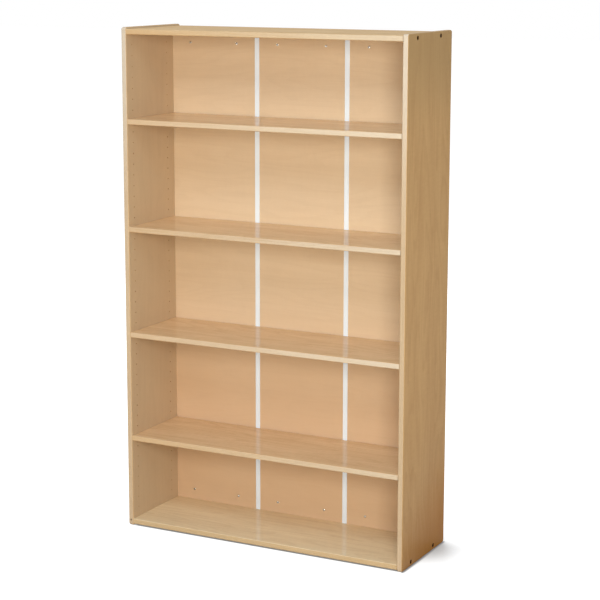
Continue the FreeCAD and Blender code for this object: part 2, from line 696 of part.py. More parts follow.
# Every object has to be sound before anything is written
for item in doc.Objects:
    faults = [state for state in item.State if state in ("Invalid", "Error")]
    if faults:
        raise RuntimeError(f"{item.Label}: {faults}")
for piece in pieces:
    if piece.Shape.isNull() or not piece.Shape.isValid():
        raise RuntimeError(f"{piece.Label} has no sound shape")

os.makedirs("parts", exist_ok=True)
for piece in pieces:
    piece.Shape.exportStep(os.path.join("parts", f"{piece.Label}.step"))
    print(piece.Label, len(piece.Shape.Solids), "solids", round(piece.Shape.Volume), "mm3")
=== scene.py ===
import math

import bmesh
import bpy
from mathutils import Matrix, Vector


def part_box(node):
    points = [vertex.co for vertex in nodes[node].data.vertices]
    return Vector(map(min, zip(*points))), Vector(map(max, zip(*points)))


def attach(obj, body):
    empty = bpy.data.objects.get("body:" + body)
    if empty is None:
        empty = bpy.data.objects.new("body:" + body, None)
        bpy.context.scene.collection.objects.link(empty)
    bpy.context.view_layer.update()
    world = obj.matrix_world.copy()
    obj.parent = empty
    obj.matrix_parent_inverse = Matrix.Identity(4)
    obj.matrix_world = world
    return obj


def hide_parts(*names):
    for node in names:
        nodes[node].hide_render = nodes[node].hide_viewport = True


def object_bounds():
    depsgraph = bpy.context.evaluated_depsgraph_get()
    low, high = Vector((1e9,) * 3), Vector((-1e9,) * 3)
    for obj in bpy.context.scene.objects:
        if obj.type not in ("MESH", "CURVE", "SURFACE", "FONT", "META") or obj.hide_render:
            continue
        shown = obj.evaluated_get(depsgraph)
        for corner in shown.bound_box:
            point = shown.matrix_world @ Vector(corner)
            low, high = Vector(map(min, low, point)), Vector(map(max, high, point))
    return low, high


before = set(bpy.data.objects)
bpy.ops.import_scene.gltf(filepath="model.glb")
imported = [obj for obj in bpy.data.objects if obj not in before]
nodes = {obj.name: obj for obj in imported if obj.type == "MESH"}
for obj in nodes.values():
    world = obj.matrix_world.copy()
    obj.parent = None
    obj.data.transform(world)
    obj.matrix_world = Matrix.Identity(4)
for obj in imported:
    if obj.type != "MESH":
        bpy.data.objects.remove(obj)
cad_box = [list(corner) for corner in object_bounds()]

# ---- Sides ---------------------------------------------------------------------------------
# Two full-height boards of birch plywood, lacquered after their corners and long edges were rounded
# over. The face veneers run upright and the plies between them crosswise, so the front edge shows
# thin lines. Each inner face has two rows of bored support holes, each outer face four screw holes.

BOARD_PLIES = 7
GRAIN_UPRIGHT, GRAIN_LEVEL = 2, 0
HOLE_PITCH = 0.032
HOLE_RADIUS = 0.0016
HOLE_DEPTH = 0.010
HOLE_ROWS = (-0.1204, 0.0716)
SCREW_ROWS = (-0.0884, 0.0716)
SCREW_HEIGHTS = (0.013, 1.4983)
SCREW_HOLE_RADIUS = 0.0061
SCREW_HOLE_DEPTH = 0.006

# How deep the stain of a face goes, how wide the broken lacquer round a hole and the painted shade round a
# screw hole reach, how far below a face the bare wall of a hole begins, and how far back the colour of a
# front edge fades
SKIN = 0.001
RIM_WIDTH = 0.0009
BARE_WALL = (0.0001, 0.0006)
EDGE_FADE = (0.003, 0.006)

# The short gap in a core ply: its height above the floor, half its length and half its width
PLY_GAP_HEIGHT = 0.017
PLY_GAP_LENGTH = 0.0042
PLY_GAP_WIDTH = 0.0021


def screen(red, green, blue):
    """A colour as it looks on a screen, 0 to 255, as the linear colour that the nodes take."""
    return tuple(((part / 255 + 0.055) / 1.055) ** 2.4 for part in (red, green, blue)) + (1.0,)


class Value:
    """A number, colour or vector in a node tree. Sums and products of numbers add Math nodes."""

    def __init__(self, tree, socket=None):
        self.tree = tree
        self.socket = socket

    def node(self, kind, settings=None, sockets=None, output=0):
        """Adds a node, sets it, fills or links its sockets, and gives one of its outputs."""
        made = self.tree.nodes.new(kind)
        for name, setting in (settings or {}).items():
            setattr(made, name, setting)
        for name, value in (sockets or {}).items():
            if isinstance(value, Value):
                self.tree.links.new(value.socket, made.inputs[name])
            else:
                made.inputs[name].default_value = value
        return Value(self.tree, made.outputs[output] if made.outputs else None)

    def other(self, output):
        """Another output of the node that this value comes from."""
        return Value(self.tree, self.socket.node.outputs[output])

    def maths(self, operation, *values):
        return self.node("ShaderNodeMath", {"operation": operation}, dict(enumerate(values)))

    def smaller(self, other):
        return self.maths("MINIMUM", self, other)

    def larger(self, other):
        return self.maths("MAXIMUM", self, other)

    def clamped(self, low=0.0, high=1.0):
        return self.smaller(high).larger(low)

    def smooth(self, low, high):
        """0 at low and 1 at high, with a soft start and end."""
        sockets = {"Value": self, "From Min": low, "From Max": high}
        return self.node("ShaderNodeMapRange", {"interpolation_type": "SMOOTHSTEP"}, sockets)

    def blend(self, under, over):
        """The colour under where this is 0, and the colour over where it is 1."""
        return self.node("ShaderNodeMix", {"data_type": "RGBA"}, {0: self, 6: under, 7: over}, 2)

    def diagonal(self, other):
        """How far a spot is from a centre that lies this far one way and other the second way."""
        square = self * self + other * other
        return square.maths("SQRT", square)

    def __add__(self, other):
        return self.maths("ADD", self, other)

    __radd__ = __add__

    def __sub__(self, other):
        return self.maths("SUBTRACT", self, other)

    def __rsub__(self, other):
        return self.maths("SUBTRACT", other, self)

    def __mul__(self, other):
        return self.maths("MULTIPLY", self, other)

    __rmul__ = __mul__

    def __truediv__(self, other):
        return self.maths("DIVIDE", self, other)

    def __mod__(self, other):
        return self.maths("FLOORED_MODULO", self, other)

    def __pow__(self, other):
        return self.maths("POWER", self, other)

    def __abs__(self):
        return self.maths("ABSOLUTE", self)


def new_material(name):
    """An empty material, and the start of its node tree."""
    material = bpy.data.materials.new(name)
    material.use_nodes = True
    material.node_tree.nodes.clear()
    return material, Value(material.node_tree)


def relief(height, strength, distance):
    """A normal that makes the surface stand out by so many metres where the height is 1."""
    sockets = {"Strength": strength, "Distance": distance, "Height": height}
    return height.node("ShaderNodeBump", sockets=sockets)


def close_material(start, sockets):
    """Ends a material with one shader that takes these sockets."""
    shader = start.node("ShaderNodeBsdfPrincipled", sockets=sockets)
    start.node("ShaderNodeOutputMaterial", sockets={"Surface": shader})


def coat(label, material):
    """Gives a node of the frame its finish."""
    for slot in nodes[label].material_slots:
        slot.material = material


class Plywood:
    """The bare wood of one board: its colour, and how far its pores and fibres stand out."""

    def __init__(self, name, box, grain, plies, pale, deep, seed, figured=1.0):
        self.material, self.start = new_material(name)
        start = self.start
        low, high = box
        thin = min(range(3), key=lambda axis: high[axis] - low[axis])
        cross = 3 - grain - thin
        thickness = high[thin] - low[thin]
        place = start.node("ShaderNodeTexCoord", output="Object")
        self.x = start.node("ShaderNodeSeparateXYZ", sockets={0: place})
        self.y, self.z = self.x.other(1), self.x.other(2)
        spots = (self.x, self.y, self.z)
        normal_x = start.node("ShaderNodeSeparateXYZ", sockets={0: place.other("Normal")})
        facing = [abs(part) for part in (normal_x, normal_x.other(1), normal_x.other(2))]
        turned = {0: spots[cross] + seed, 1: spots[thin], 2: spots[grain]}
        space = start.node("ShaderNodeCombineXYZ", sockets=turned)

        def figure(across, through, along, detail=1.0, roughness=0.5):
            """Soft blotches about so many metres across the grain, through the board and along it."""
            sizes = (1 / across, 1 / through, 1 / along)
            stretched = start.node("ShaderNodeVectorMath", {"operation": "MULTIPLY"}, {0: space, 1: sizes})
            sockets = {"Vector": stretched, "Scale": 1.0, "Detail": detail, "Roughness": roughness}
            return start.node("ShaderNodeTexNoise", {"noise_dimensions": "3D"}, sockets) - 0.5

        # Which ply a spot is in: the outer veneers are even, and the clamp keeps the faces whole
        uneven = figure(0.06, 0.05, 0.25) * 0.35
        depth = ((spots[thin] - low[thin]) * (plies / thickness) + uneven).clamped(0.5, plies - 0.5)
        odd = depth.maths("FLOOR", depth) % 2
        glue = 1 - (0.5 - abs(depth % 1 - 0.5)).smooth(0.015, 0.075)

        # Peeled veneer: wide swings in tone, growth rings cut as long loops, streaks, fibres, flecks
        swing = figure(0.055, 0.05, 0.55, 2.0)
        warp = figure(0.012, 0.02, 0.10, 1.0)
        ring = (figure(0.085, 0.05, 0.60, 1.0) * 11 + warp * 0.5) % 1
        late = ring.smooth(0.35, 0.92) - ring.smooth(0.93, 1.0)
        streak = figure(0.0042, 0.004, 0.16, 2.0, 0.6)
        fibre = figure(0.0011, 0.0011, 0.026, 2.0, 0.6)
        ripple = figure(0.022, 0.02, 0.009, 1.0)
        fleck = figure(0.00055, 0.0006, 0.0042).smooth(0.17, 0.26)
        veneer = swing * 0.9 + streak * 0.55 + fibre * 0.40 + ripple * 0.25 - late * 0.20
        long_tone = 0.60 + veneer * figured

        # The crosswise plies between them
        speckle = figure(0.020, 0.0008, 0.0008, 2.0, 0.6)
        patch = figure(0.10, 0.003, 0.006, 1.0)
        cross_tone = 0.56 + speckle * 0.9 + patch * 0.3

        # End grain drinks the lacquer and darkens
        tone = long_tone + odd * (cross_tone - long_tone)
        end = facing[grain].smooth(0.6, 0.9)
        end = end + odd * (facing[cross].smooth(0.6, 0.9) - end)
        tone = (tone - end * 0.08 - glue * 0.13 - fleck * 0.20).clamped()

        # The edges take a paler colour than the faces, and the front edge most of it
        edge = 1 - facing[thin].smooth(0.45, 0.85)
        face_colour = tone.blend(deep, pale)
        edge_colour = tone.blend(screen(184, 155, 121), screen(223, 206, 183))
        self.front = edge * (1 - (self.y - low[1]).smooth(*EDGE_FADE))
        self.colour = (edge * 0.45 + self.front * 0.4).blend(face_colour, edge_colour)
        self.height = fibre * 0.8 + streak * 0.5 - fleck * 0.6 - glue * 0.4
        self.roughness = 0.40 + fibre * 0.16 + end * 0.10 + ripple * 0.10

    def stain(self, mask, colour):
        """Turns the colour of the wood to another where the mask is 1."""
        self.colour = mask.blend(self.colour, colour)

    def lacquered(self, coat_weight=0.22, coat_roughness=0.22):
        """Closes the material with a clear lacquer over the wood."""
        sockets = {
            "Base Color": self.colour,
            "Roughness": self.roughness.clamped(0.2, 0.9),
            "Normal": relief(self.height, 0.35, 0.00015),
            "Coat Weight": coat_weight,
            "Coat Roughness": coat_roughness,
            "Specular IOR Level": 0.0,
        }
        close_material(self.start, sockets)
        return self.material


def nearest(spot, marks):
    """How far a spot is from the nearer one of two marks."""
    first, second = (abs(spot - mark) for mark in marks)
    return first.smaller(second)


for label, inner, seed in (("left_side", 1, 3.1), ("right_side", -1, 7.7)):
    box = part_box(label)
    pale, deep = screen(220, 183, 131), screen(188, 146, 94)
    wood = Plywood(f"{label}_wood", box, GRAIN_UPRIGHT, BOARD_PLIES, pale, deep, seed, figured=0.75)
    inner_face = box[1][0] if inner > 0 else box[0][0]
    outer_face = box[0][0] if inner > 0 else box[1][0]
    below_inner = abs(wood.x - inner_face)
    below_outer = abs(wood.x - outer_face)
    on_inner = 1 - below_inner.smooth(0.0, SKIN)
    on_outer = 1 - below_outer.smooth(0.0, SKIN)

    # Painted highlight: the front edge turns paler towards its top. The inner face is a little paler all over
    wood.stain(wood.front * wood.z.smooth(0.9, 1.45) * 0.55, screen(214, 207, 196))
    wood.stain(on_inner * 0.65, screen(205, 190, 166))

    # The middle of the right front edge is browner than the left one
    if label == "right_side":
        browner = wood.z.smooth(0.1, 0.4) * (1 - wood.z.smooth(0.95, 1.35))
        wood.stain(wood.front * browner * 0.3, screen(182, 157, 122))

    # Painted shade on the outer veneer: it is duller near its top and deepens towards its rear foot
    wood.stain(wood.z.smooth(1.2, 1.48) * on_outer * 0.55, screen(178, 150, 104))
    foot = (wood.z - wood.y * 0.6 + 0.06).smooth(0.0, 0.34)
    wood.stain((1 - foot) * on_outer * 0.8, screen(192, 131, 42))

    # Rims of the support holes, where the lacquer broke, and the bare bored wood inside them
    middle = (box[0][2] + box[1][2]) / 2
    up = (wood.z - middle + HOLE_PITCH / 2) % HOLE_PITCH - HOLE_PITCH / 2
    away = up.diagonal(nearest(wood.y, HOLE_ROWS))
    in_row = 1 - below_inner.smooth(HOLE_DEPTH + SKIN / 2, HOLE_DEPTH + SKIN)
    rim = 1 - away.smooth(HOLE_RADIUS, HOLE_RADIUS + RIM_WIDTH)
    bored = rim * in_row * below_inner.smooth(*BARE_WALL)
    wood.stain(rim * in_row * 0.45, screen(150, 104, 62))
    wood.stain(bored * 0.8, screen(146, 98, 58))

    # Round the assembly screws, broken lacquer and bare wood as round the support holes, deepened with
    # painted shade in the recess
    away = nearest(wood.z, SCREW_HEIGHTS).diagonal(nearest(wood.y, SCREW_ROWS))
    in_hole = 1 - below_outer.smooth(SCREW_HOLE_DEPTH, SCREW_HOLE_DEPTH + SKIN)
    rim = (1 - away.smooth(SCREW_HOLE_RADIUS, SCREW_HOLE_RADIUS + RIM_WIDTH)) * in_hole
    wood.stain(rim * 0.6, screen(112, 70, 28))
    wood.stain(rim * below_outer.smooth(*BARE_WALL) * 0.9, screen(76, 44, 14))

    # A short gap in a core ply near the foot of the left front edge
    if label == "left_side":
        up = (wood.z - PLY_GAP_HEIGHT) / PLY_GAP_LENGTH
        out = (wood.x - (inner_face + outer_face) / 2) / PLY_GAP_WIDTH
        at_front = 1 - abs(wood.y - box[0][1]).smooth(0.002, 0.004)
        wood.stain((1 - (up * up + out * out).smooth(0.5, 1.0)) * at_front, screen(44, 27, 14))
    coat(label, wood.lacquered())

# ---- Top and bottom ------------------------------------------------------------------------
# Two boards screwed between the sides, five millimetres in from their ends. The grain runs from
# side to side, and the front edges are rounded over as those of the sides are.

# Coat weight and roughness of the boards that things stand on, which have the thicker lacquer
HARD_LACQUER = (0.6, 0.09)


def paint_edge_light(wood):
    """The front edge goes from honey at the left end of a board to pale at its right end: painted shade at
    the left and a painted sheen at the right.
    """
    wood.stain(wood.front * (1 - wood.x.smooth(-0.5, 0.1)) * 0.4, screen(206, 162, 104))
    wood.stain(wood.front * wood.x.smooth(-0.1, 0.5) * 0.35, screen(218, 211, 196))


def darken_below(wood, lowest):
    """Painted shade on the lower face of a board, which is darker and more orange, and so throws less and
    warmer light on what lies below it.
    """
    wood.stain((1 - (wood.z - lowest).smooth(0.0, SKIN)) * 0.75, screen(184, 134, 78))


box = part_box("top_panel")
pale, deep = screen(232, 202, 158), screen(202, 166, 122)
wood = Plywood("top_panel_wood", box, GRAIN_LEVEL, BOARD_PLIES, pale, deep, seed=12.3)
darken_below(wood, box[0][2])
wood.stain(wood.front * 0.22, screen(206, 174, 124))
paint_edge_light(wood)
coat("top_panel", wood.lacquered(0.08))

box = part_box("bottom_panel")
pale, deep = screen(243, 224, 187), screen(216, 191, 152)
wood = Plywood("bottom_panel_wood", box, GRAIN_LEVEL, BOARD_PLIES, pale, deep, seed=15.8)
wood.stain(wood.front * 0.5, screen(204, 168, 106))
coat("bottom_panel", wood.lacquered(*HARD_LACQUER))

# ---- Shelves -------------------------------------------------------------------------------
# Four loose boards of the same plywood, grain from side to side. Each end has a slot, stopped
# short of the front edge, that slides over a support wire.

SHELF_NUMBERS = (1, 2, 3, 4)
EDGE_TINTS = {1: screen(236, 220, 196), 3: screen(236, 220, 196), 4: screen(220, 184, 128)}

for number in SHELF_NUMBERS:
    label = f"shelf_{number}"
    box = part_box(label)
    pale, deep = screen(234, 204, 163), screen(204, 168, 127)
    seed = 20 + 4.3 * number
    wood = Plywood(f"{label}_wood", box, GRAIN_LEVEL, BOARD_PLIES, pale, deep, seed)
    darken_below(wood, box[0][2])
    if number in EDGE_TINTS:
        wood.stain(wood.front * 0.25, EDGE_TINTS[number])
    paint_edge_light(wood)
    coat(label, wood.lacquered(*HARD_LACQUER))

# ---- Support wires -------------------------------------------------------------------------
# Eight lengths of round spring steel, each bent at both ends into legs that plug into two support
# holes. They are drawn wire, so fine lines run along them.


def streaks(place, sizes, detail):
    """Noise that is stretched to so many metres along x, y and z."""
    stretched = place.node("ShaderNodeVectorMath", {"operation": "DIVIDE"}, {0: place, 1: sizes})
    sockets = {"Vector": stretched, "Scale": 1.0, "Detail": detail}
    return place.node("ShaderNodeTexNoise", sockets=sockets)


def metal(name, bright, dull, roughness, lines, patch_size, recess=None, glancing=(1, 1, 1, 1)):
    """Bare or plated metal: streaks of so many metres along x, y and z, and duller patches.

    recess takes the start of the tree and gives a mask of the spots that get painted shade.
    glancing tints what the metal mirrors at a low angle."""
    material, start = new_material(name)
    place = start.node("ShaderNodeTexCoord", output="Object")
    streak = streaks(place, lines, 3.0)
    sockets = {"Vector": place, "Scale": 1 / patch_size, "Detail": 3.0}
    patch = start.node("ShaderNodeTexNoise", sockets=sockets)
    dullness = (patch.smooth(0.35, 0.7) * 0.7 + streak * 0.4).clamped()
    colour = dullness.blend(bright, dull)
    if recess:
        # Painted shade: the colour darkens where the recess mask is 1
        colour = (recess(start) * 0.7).blend(colour, screen(40, 36, 32))
    sockets = {
        "Base Color": colour,
        "Metallic": 1.0,
        "Specular Tint": glancing,
        "Roughness": (roughness + dullness * 0.18).clamped(),
        "Normal": relief(streak, 0.3, 0.00003),
    }
    close_material(start, sockets)
    return material


wire_metal = metal(
    "wire_metal",
    bright=screen(198, 198, 196),
    dull=screen(142, 142, 140),
    roughness=0.26,
    lines=(0.0003, 0.02, 0.0003),
    patch_size=0.004,
)
for number in SHELF_NUMBERS:
    coat(f"shelf_{number}_wires", wire_metal)

# ---- Back panels ---------------------------------------------------------------------------
# Three sheets of thin three-ply birch, lacquered, with their grain running across. Their outer
# edges sit in grooves of the case, and the plastic strips hold the joints between them.

SHEET_PLIES = 3

for label, seed in (("back_panel_left", 41.0), ("back_panel_centre", 44.6), ("back_panel_right", 49.9)):
    pale, deep = screen(242, 220, 188), screen(215, 188, 152)
    wood = Plywood(f"{label}_wood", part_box(label), GRAIN_LEVEL, SHEET_PLIES, pale, deep, seed, figured=0.36)

    # Painted shade: the sheets are darker and warmer towards the floor
    wood.stain((1 - wood.z.smooth(0.30, 0.80)) * 0.5, screen(225, 183, 142))
    coat(label, wood.lacquered(0.25))

# ---- Joining strips ------------------------------------------------------------------------
# Two extrusions of white plastic, H-shaped in section, that take an edge of a back panel on each
# side. The die leaves faint lines along them. Their seen faces are tinted blue and glow faintly blue,
# painted light that keeps them white among the warm wood.

PAINTED_BLUE_GLOW = (0.055, 0.09, 0.135, 1)
NO_LIGHT = (0, 0, 0, 1)

material, start = new_material("strip_plastic")
place = start.node("ShaderNodeTexCoord", output="Object")
die_line = streaks(place, (0.0009, 0.0009, 0.4), 2.0)
cloud = start.node("ShaderNodeTexNoise", sockets={"Vector": place, "Scale": 9.0, "Detail": 2.0})
panel_front, panel_rear = (corner[1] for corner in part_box("back_panel_centre"))
depth = start.node("ShaderNodeSeparateXYZ", sockets={0: place}, output=1)
hidden = depth.smooth(panel_front, panel_rear)
# Painted light: the seen faces are bluer than the hidden ones, and glow faintly blue
clean = hidden.blend(screen(242, 251, 255), screen(244, 245, 243))
sockets = {
    "Base Color": (cloud.smooth(0.3, 0.7) * 0.6 + die_line * 0.3).blend(clean, screen(234, 242, 245)),
    "Emission Color": hidden.blend(PAINTED_BLUE_GLOW, NO_LIGHT),
    "Emission Strength": 1.0,
    "Roughness": 0.34 + die_line * 0.12,
    "Normal": relief(die_line, 0.25, 0.00008),
    "IOR": 1.7,
    "Specular IOR Level": 0.7,
}
close_material(start, sockets)
for label in ("back_strip_left", "back_strip_right"):
    coat(label, material)

# ---- Back rails ----------------------------------------------------------------------------
# Two plywood rails behind the back, top and bottom, that its screws bite into. Dowels hold them
# between the sides.

for label, seed in (("back_rail_upper", 61.0), ("back_rail_lower", 66.5)):
    pale, deep = screen(230, 198, 150), screen(196, 154, 104)
    wood = Plywood(f"{label}_wood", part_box(label), GRAIN_LEVEL, BOARD_PLIES, pale, deep, seed)
    coat(label, wood.lacquered(0.15))

# ---- Rail dowels ---------------------------------------------------------------------------
# Turned beech pegs, eight of them, glued half into a rail and half into a side. Beech shows short
# brown flecks along its grain.

material, start = new_material("dowel_beech")
place = start.node("ShaderNodeTexCoord", output="Object")
fleck = streaks(place, (0.0025, 0.0004, 0.0004), 1.0)
grain = streaks(place, (0.02, 0.0011, 0.0011), 2.0)
bare = grain.smooth(0.3, 0.7).blend(screen(206, 160, 112), screen(226, 188, 142))
sockets = {
    "Base Color": (fleck.smooth(0.62, 0.72) * 0.6).blend(bare, screen(150, 100, 62)),
    "Roughness": 0.62 + grain * 0.15,
    "Normal": relief(grain - fleck, 0.3, 0.0001),
}
close_material(start, sockets)
for label in ("rail_dowels_upper", "rail_dowels_lower"):
    coat(label, material)

# ---- Assembly screws -----------------------------------------------------------------------
# Eight furniture screws of blackened steel with a hexagon socket, two through each corner of the
# case. A coarse thread follows the smooth shank, and the flat head sits below the side's face.

# How far the head lies below the face of its side
SCREW_SUNK = 0.0016

# Stations from the head on: (depth, points, inner radius, outer radius) down in the socket, and
# (depth, radius) along the head, the shank and the tip
SCREW_SOCKET = [
    (0.0031, 6, 0.0010, 0), (0.0025, 6, 0.0020, 0), (0.0003, 6, 0.0020, 0), (0.0, 6, 0.0022, 0),
]
SCREW_HEAD = [
    (0.0, 0.0056), (0.0001, 0.0059), (0.0004, 0.0060), (0.0012, 0.0060), (0.0037, 0.0035),
    (0.0115, 0.0035), (0.012, 0.0024),
]
SCREW_THREAD = {"start": 0.012, "end": 0.046, "pitch": 0.003, "root": 0.0023, "crest": 0.0032}
SCREW_TIP = [(0.048, 0.0021), (0.050, 0.0012)]

# How many steps make one turn of a thread, how steep its ridge is, and how far a tip bulges
THREAD_STEPS = 8
RIDGE_SLOPE = 3.2
TIP_BULGE = 0.4


def socket_radius(angle, points, inner, outer):
    """How far the outline of a recess is from its middle, in the direction of an angle.

    A hexagon is given by its flats, and a cross by half the width and half the length of an arm."""
    if points == 6:
        turn = (angle + math.pi / 6) % (math.pi / 3) - math.pi / 6
        return inner / math.cos(turn)
    turn = abs((angle + math.pi / 4) % (math.pi / 2) - math.pi / 4)
    return min(outer / math.cos(turn), inner / max(math.sin(turn), 1e-6))


def screw_mesh(name, recess, head, thread, tip, angles):
    """A screw along +z with the face of its head at 0 and a corner at each angle.

    Its rings run from the bottom of the recess over the head and down the thread to the tip."""
    rings = []
    for depth, *outline in recess:
        rings.append([(socket_radius(angle, *outline), depth) for angle in angles])
    for depth, radius in head:
        rings.append([(radius, depth)] * len(angles))
    count = int((thread["end"] - thread["start"]) / thread["pitch"] * THREAD_STEPS)
    for step in range(count + 1):
        depth = thread["start"] + thread["pitch"] * step / THREAD_STEPS
        fade = min(1, step / THREAD_STEPS, (count - step) / THREAD_STEPS)
        ring = []
        for angle in angles:
            phase = (step / THREAD_STEPS - angle / (2 * math.pi)) % 1
            ridge = max(0.0, 1 - abs(phase - 0.5) * RIDGE_SLOPE)
            ring.append((thread["root"] + (thread["crest"] - thread["root"]) * ridge * fade, depth))
        rings.append(ring)
    for depth, radius in tip:
        rings.append([(radius, depth)] * len(angles))
    mesh = bmesh.new()
    rows = [
        [
            mesh.verts.new((radius * math.cos(angle), radius * math.sin(angle), depth))
            for angle, (radius, depth) in zip(angles, ring)
        ]
        for ring in rings
    ]
    start_pole = mesh.verts.new((0, 0, rings[0][0][1]))
    end_pole = mesh.verts.new((0, 0, rings[-1][0][1] + tip[-1][1] * TIP_BULGE))
    for k in range(len(angles)):
        after = (k + 1) % len(angles)
        mesh.faces.new((rows[0][k], rows[0][after], start_pole))
        mesh.faces.new((rows[-1][after], rows[-1][k], end_pole))
        for lower, upper in zip(rows, rows[1:]):
            mesh.faces.new((lower[k], upper[k], upper[after], lower[after]))
    bmesh.ops.recalc_face_normals(mesh, faces=mesh.faces)
    for face in mesh.faces:
        face.smooth = True
    made = bpy.data.meshes.new(name)
    mesh.to_mesh(made)
    mesh.free()
    return made


def row_of_screws(name, mesh, places, turn, finish, body, replaced):
    """Geometry Nodes set the screw at each place, turned by so much; the result is one plain mesh."""
    pattern = bpy.data.objects.new(f"{name}_pattern", mesh)
    points = bpy.data.meshes.new(f"{name}_places")
    points.from_pydata(places, [], [])
    rows = bpy.data.objects.new(f"{name}_rows", points)
    bpy.context.scene.collection.objects.link(rows)
    tree = bpy.data.node_groups.new(f"{name}_tree", "GeometryNodeTree")
    inputs = {
        "Places": "NodeSocketGeometry",
        "Screw": "NodeSocketObject",
        "Turn": "NodeSocketVector",
        "Finish": "NodeSocketMaterial",
    }
    for title, kind in inputs.items():
        tree.interface.new_socket(title, in_out="INPUT", socket_type=kind)
    tree.interface.new_socket("Screws", in_out="OUTPUT", socket_type="NodeSocketGeometry")
    start = Value(tree)
    given = start.node("NodeGroupInput")
    screw = start.node("GeometryNodeObjectInfo", sockets={"Object": given.other("Screw")}, output="Geometry")
    dots = start.node("GeometryNodeMeshToPoints", sockets={"Mesh": given.other("Places")})
    sockets = {"Points": dots, "Instance": screw, "Rotation": given.other("Turn")}
    placed = start.node("GeometryNodeInstanceOnPoints", sockets=sockets)
    solid = start.node("GeometryNodeRealizeInstances", sockets={"Geometry": placed})
    sockets = {"Geometry": solid, "Material": given.other("Finish")}
    painted = start.node("GeometryNodeSetMaterial", sockets=sockets)
    start.node("NodeGroupOutput", sockets={"Screws": painted})
    modifier = rows.modifiers.new("screws", "NODES")
    modifier.node_group = tree
    given_values = {"Screw": pattern, "Turn": turn, "Finish": finish}
    for item in tree.interface.items_tree:
        if item.item_type == "SOCKET" and item.in_out == "INPUT" and item.name in given_values:
            modifier[item.identifier] = given_values[item.name]
    bpy.context.view_layer.update()
    evaluated = rows.evaluated_get(bpy.context.evaluated_depsgraph_get())
    piece = bpy.data.objects.new(name, bpy.data.meshes.new_from_object(evaluated))
    bpy.context.scene.collection.objects.link(piece)
    bpy.data.objects.remove(rows)
    bpy.data.objects.remove(pattern)
    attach(piece, body)
    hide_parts(replaced)


case_screw = screw_mesh(
    "case_screw_mesh",
    SCREW_SOCKET,
    SCREW_HEAD,
    SCREW_THREAD,
    SCREW_TIP,
    angles=[math.radians(7.5 * step) for step in range(48)],
)
black_metal = metal(
    "case_screw_metal",
    bright=screen(34, 23, 11),
    dull=screen(18, 12, 6),
    roughness=0.50,
    lines=(0.002, 0.0004, 0.0004),
    patch_size=0.002,
    # A painted reflection: what the screws mirror at a low angle turns warm brown
    glancing=screen(176, 130, 70),
)
for height_name, height in (("top", SCREW_HEIGHTS[1]), ("bottom", SCREW_HEIGHTS[0])):
    for side_name, hand in (("left", -1), ("right", 1)):
        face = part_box(f"{side_name}_side")[1 if hand > 0 else 0][0]
        places = [(face - hand * SCREW_SUNK, row, height) for row in SCREW_ROWS]
        turn = (0, math.radians(-90 * hand), 0)
        label = f"case_screws_{height_name}_{side_name}"
        name = f"{label}_threaded"
        row_of_screws(name, case_screw, places, turn, black_metal, "case", label)

# ---- Back screws ---------------------------------------------------------------------------
# Twelve zinc-plated wood screws with pan heads and cross recesses, two at each end of every back
# panel, driven through it into the rail.

BACK_SCREW_SPACING = 0.160
HEAD_HEIGHT = 0.0026
BACK_SCREW_CROSS = [
    (0.0015, 4, 0.00015, 0.0006), (0.0013, 4, 0.00035, 0.0012),
    (0.0001, 4, 0.00052, 0.00215), (0.0, 4, 0.00058, 0.00222),
]
BACK_SCREW_HEAD = [
    (0.0, 0.0024), (0.00008, 0.0029), (0.0004, 0.00345), (0.0009, 0.0038), (0.0016, 0.00398),
    (0.0022, 0.0040), (HEAD_HEIGHT, 0.00385), (HEAD_HEIGHT, 0.0018),
]
BACK_SCREW_THREAD = {"start": 0.0028, "end": 0.0156, "pitch": 0.0014, "root": 0.00115, "crest": 0.00175}
BACK_SCREW_TIP = [(0.0170, 0.0007), (0.0183, 0.0001)]

# The painted shade in a cross ends this far from the middle of the head, and begins this far below its face
RECESS_SHADE_REACH = (0.0021, 0.0023)
RECESS_SHADE_DEPTH = (0.0001, 0.0005)

# The corners between the arms of the cross get angles of their own, so that they stay sharp
ARM_CORNER = math.degrees(math.atan(1.1 / 4.4))
OPEN_ANGLES = [21, 28, 36, 45, 54, 62, 69]
quadrant = [0, ARM_CORNER / 2, ARM_CORNER, *OPEN_ANGLES, 90 - ARM_CORNER, 90 - ARM_CORNER / 2]
back_screw = screw_mesh(
    "back_screw_mesh",
    BACK_SCREW_CROSS,
    BACK_SCREW_HEAD,
    BACK_SCREW_THREAD,
    BACK_SCREW_TIP,
    angles=[math.radians(90 * part + angle) for part in range(4) for angle in quadrant],
)
panels = [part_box(f"back_panel_{part}") for part in ("left", "centre", "right")]
columns = [
    (panel[0][0] + panel[1][0]) / 2 + way * BACK_SCREW_SPACING / 2 for panel in panels for way in (-1, 1)
]
heights = {}
for part in ("upper", "lower"):
    low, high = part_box(f"back_rail_{part}")
    heights[part] = (low[2] + high[2]) / 2
head_front = panel_front - HEAD_HEIGHT


def cross_recess(start):
    """Where a spot lies inside the cross of a screw head."""
    place = start.node("ShaderNodeTexCoord", output="Object")
    spot = start.node("ShaderNodeSeparateXYZ", sockets={0: place})
    out = abs(spot - columns[0])
    for column in columns[1:]:
        out = out.smaller(abs(spot - column))
    away = out.diagonal(nearest(spot.other(2), heights.values()))
    sunk = (spot.other(1) - head_front).smooth(*RECESS_SHADE_DEPTH)
    return (1 - away.smooth(*RECESS_SHADE_REACH)) * sunk


